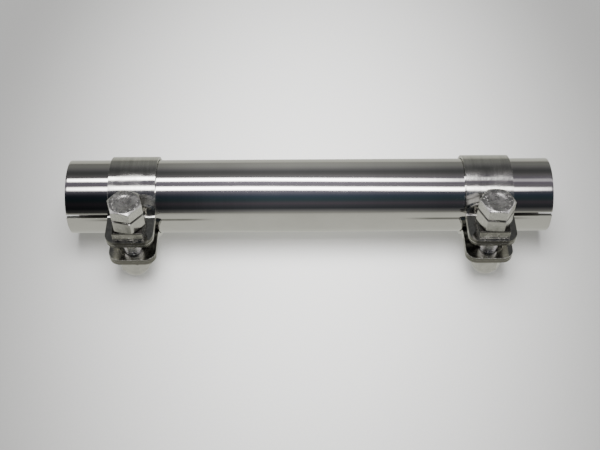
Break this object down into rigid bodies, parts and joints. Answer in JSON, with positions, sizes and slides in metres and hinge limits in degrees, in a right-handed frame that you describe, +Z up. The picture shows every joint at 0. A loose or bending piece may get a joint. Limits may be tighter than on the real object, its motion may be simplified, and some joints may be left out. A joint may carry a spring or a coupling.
{
  "type": "exhaust link pipe",
  "caption": "Polished straight link pipe, slotted at both ends, with a wide band clamp, hexagon bolt and domed cap nut on each end.",
  "frame": {"origin": "middle of the ground under the object, standing on its two bands and two dome nuts", "axes": "+X along the pipe to the right end, +Z up, -Y towards the clamp ears"},
  "size_m": [0.207, 0.0512, 0.0449],
  "materials": {
    "polished_tube": "mirror-polished stainless steel",
    "satin_band": "satin stainless strip",
    "polished_plate": "polished stainless plate",
    "bolt_steel": "cold-headed stainless bolt",
    "nut_steel": "turned stainless nut",
    "block_steel": "polished stainless block"
  },
  "bodies": {
    "link_pipe": {"pipe": "polished_tube"},
    "left_clamp": {"left_band": "satin_band", "left_upper_ear_plate": "polished_plate", "left_lower_ear_plate": "polished_plate"},
    "left_block": {"left_spacer_block": "block_steel"},
    "left_bolt_set": {"left_bolt": "bolt_steel", "left_spacer_nut": "nut_steel"},
    "left_cap_nut": {"left_dome_nut": "nut_steel"},
    "right_clamp": {"right_band": "satin_band", "right_upper_ear_plate": "polished_plate", "right_lower_ear_plate": "polished_plate"},
    "right_block": {"right_spacer_block": "block_steel"},
    "right_bolt_set": {"right_bolt": "bolt_steel", "right_spacer_nut": "nut_steel"},
    "right_cap_nut": {"right_dome_nut": "nut_steel"}
  },
  "joints": [
    {"name": "left_clamp_turn", "type": "hinge", "parent": "link_pipe", "child": "left_clamp", "pos_m": [-0.0751, 0.00825, 0.01732], "axis": [1, 0, 0], "continuous": true},
    {"name": "left_stack_lift", "type": "slide", "parent": "left_clamp", "child": "left_block", "axis": [0, 0.1103, 0.9939], "range_m": [0, 0.005]},
    {"name": "left_bolt_turn", "type": "hinge", "parent": "left_block", "child": "left_bolt_set", "pos_m": [-0.0751, -0.01666, 0.02008], "axis": [0, 0.1103, 0.9939], "range_deg": [0, 1440]},
    {"name": "left_dome_nut_turn", "type": "hinge", "parent": "left_clamp", "child": "left_cap_nut", "pos_m": [-0.0751, -0.01666, 0.02008], "axis": [0, 0.1103, 0.9939], "continuous": true},
    {"name": "right_clamp_turn", "type": "hinge", "parent": "link_pipe", "child": "right_clamp", "pos_m": [0.0763, 0.00825, 0.01732], "axis": [1, 0, 0], "continuous": true},
    {"name": "right_stack_lift", "type": "slide", "parent": "right_clamp", "child": "right_block", "axis": [0, 0.1103, 0.9939], "range_m": [0, 0.005]},
    {"name": "right_bolt_turn", "type": "hinge", "parent": "right_block", "child": "right_bolt_set", "pos_m": [0.0763, -0.01666, 0.02008], "axis": [0, 0.1103, 0.9939], "range_deg": [0, 1440]},
    {"name": "right_dome_nut_turn", "type": "hinge", "parent": "right_clamp", "child": "right_cap_nut", "pos_m": [0.0763, -0.01666, 0.02008], "axis": [0, 0.1103, 0.9939], "continuous": true}
  ],
  "couplings": [
    {"joint": "left_stack_lift", "follows": "left_bolt_turn", "m_per_rad": 0.00019894},
    {"joint": "right_stack_lift", "follows": "right_bolt_turn", "m_per_rad": 0.00019894}
  ]
}
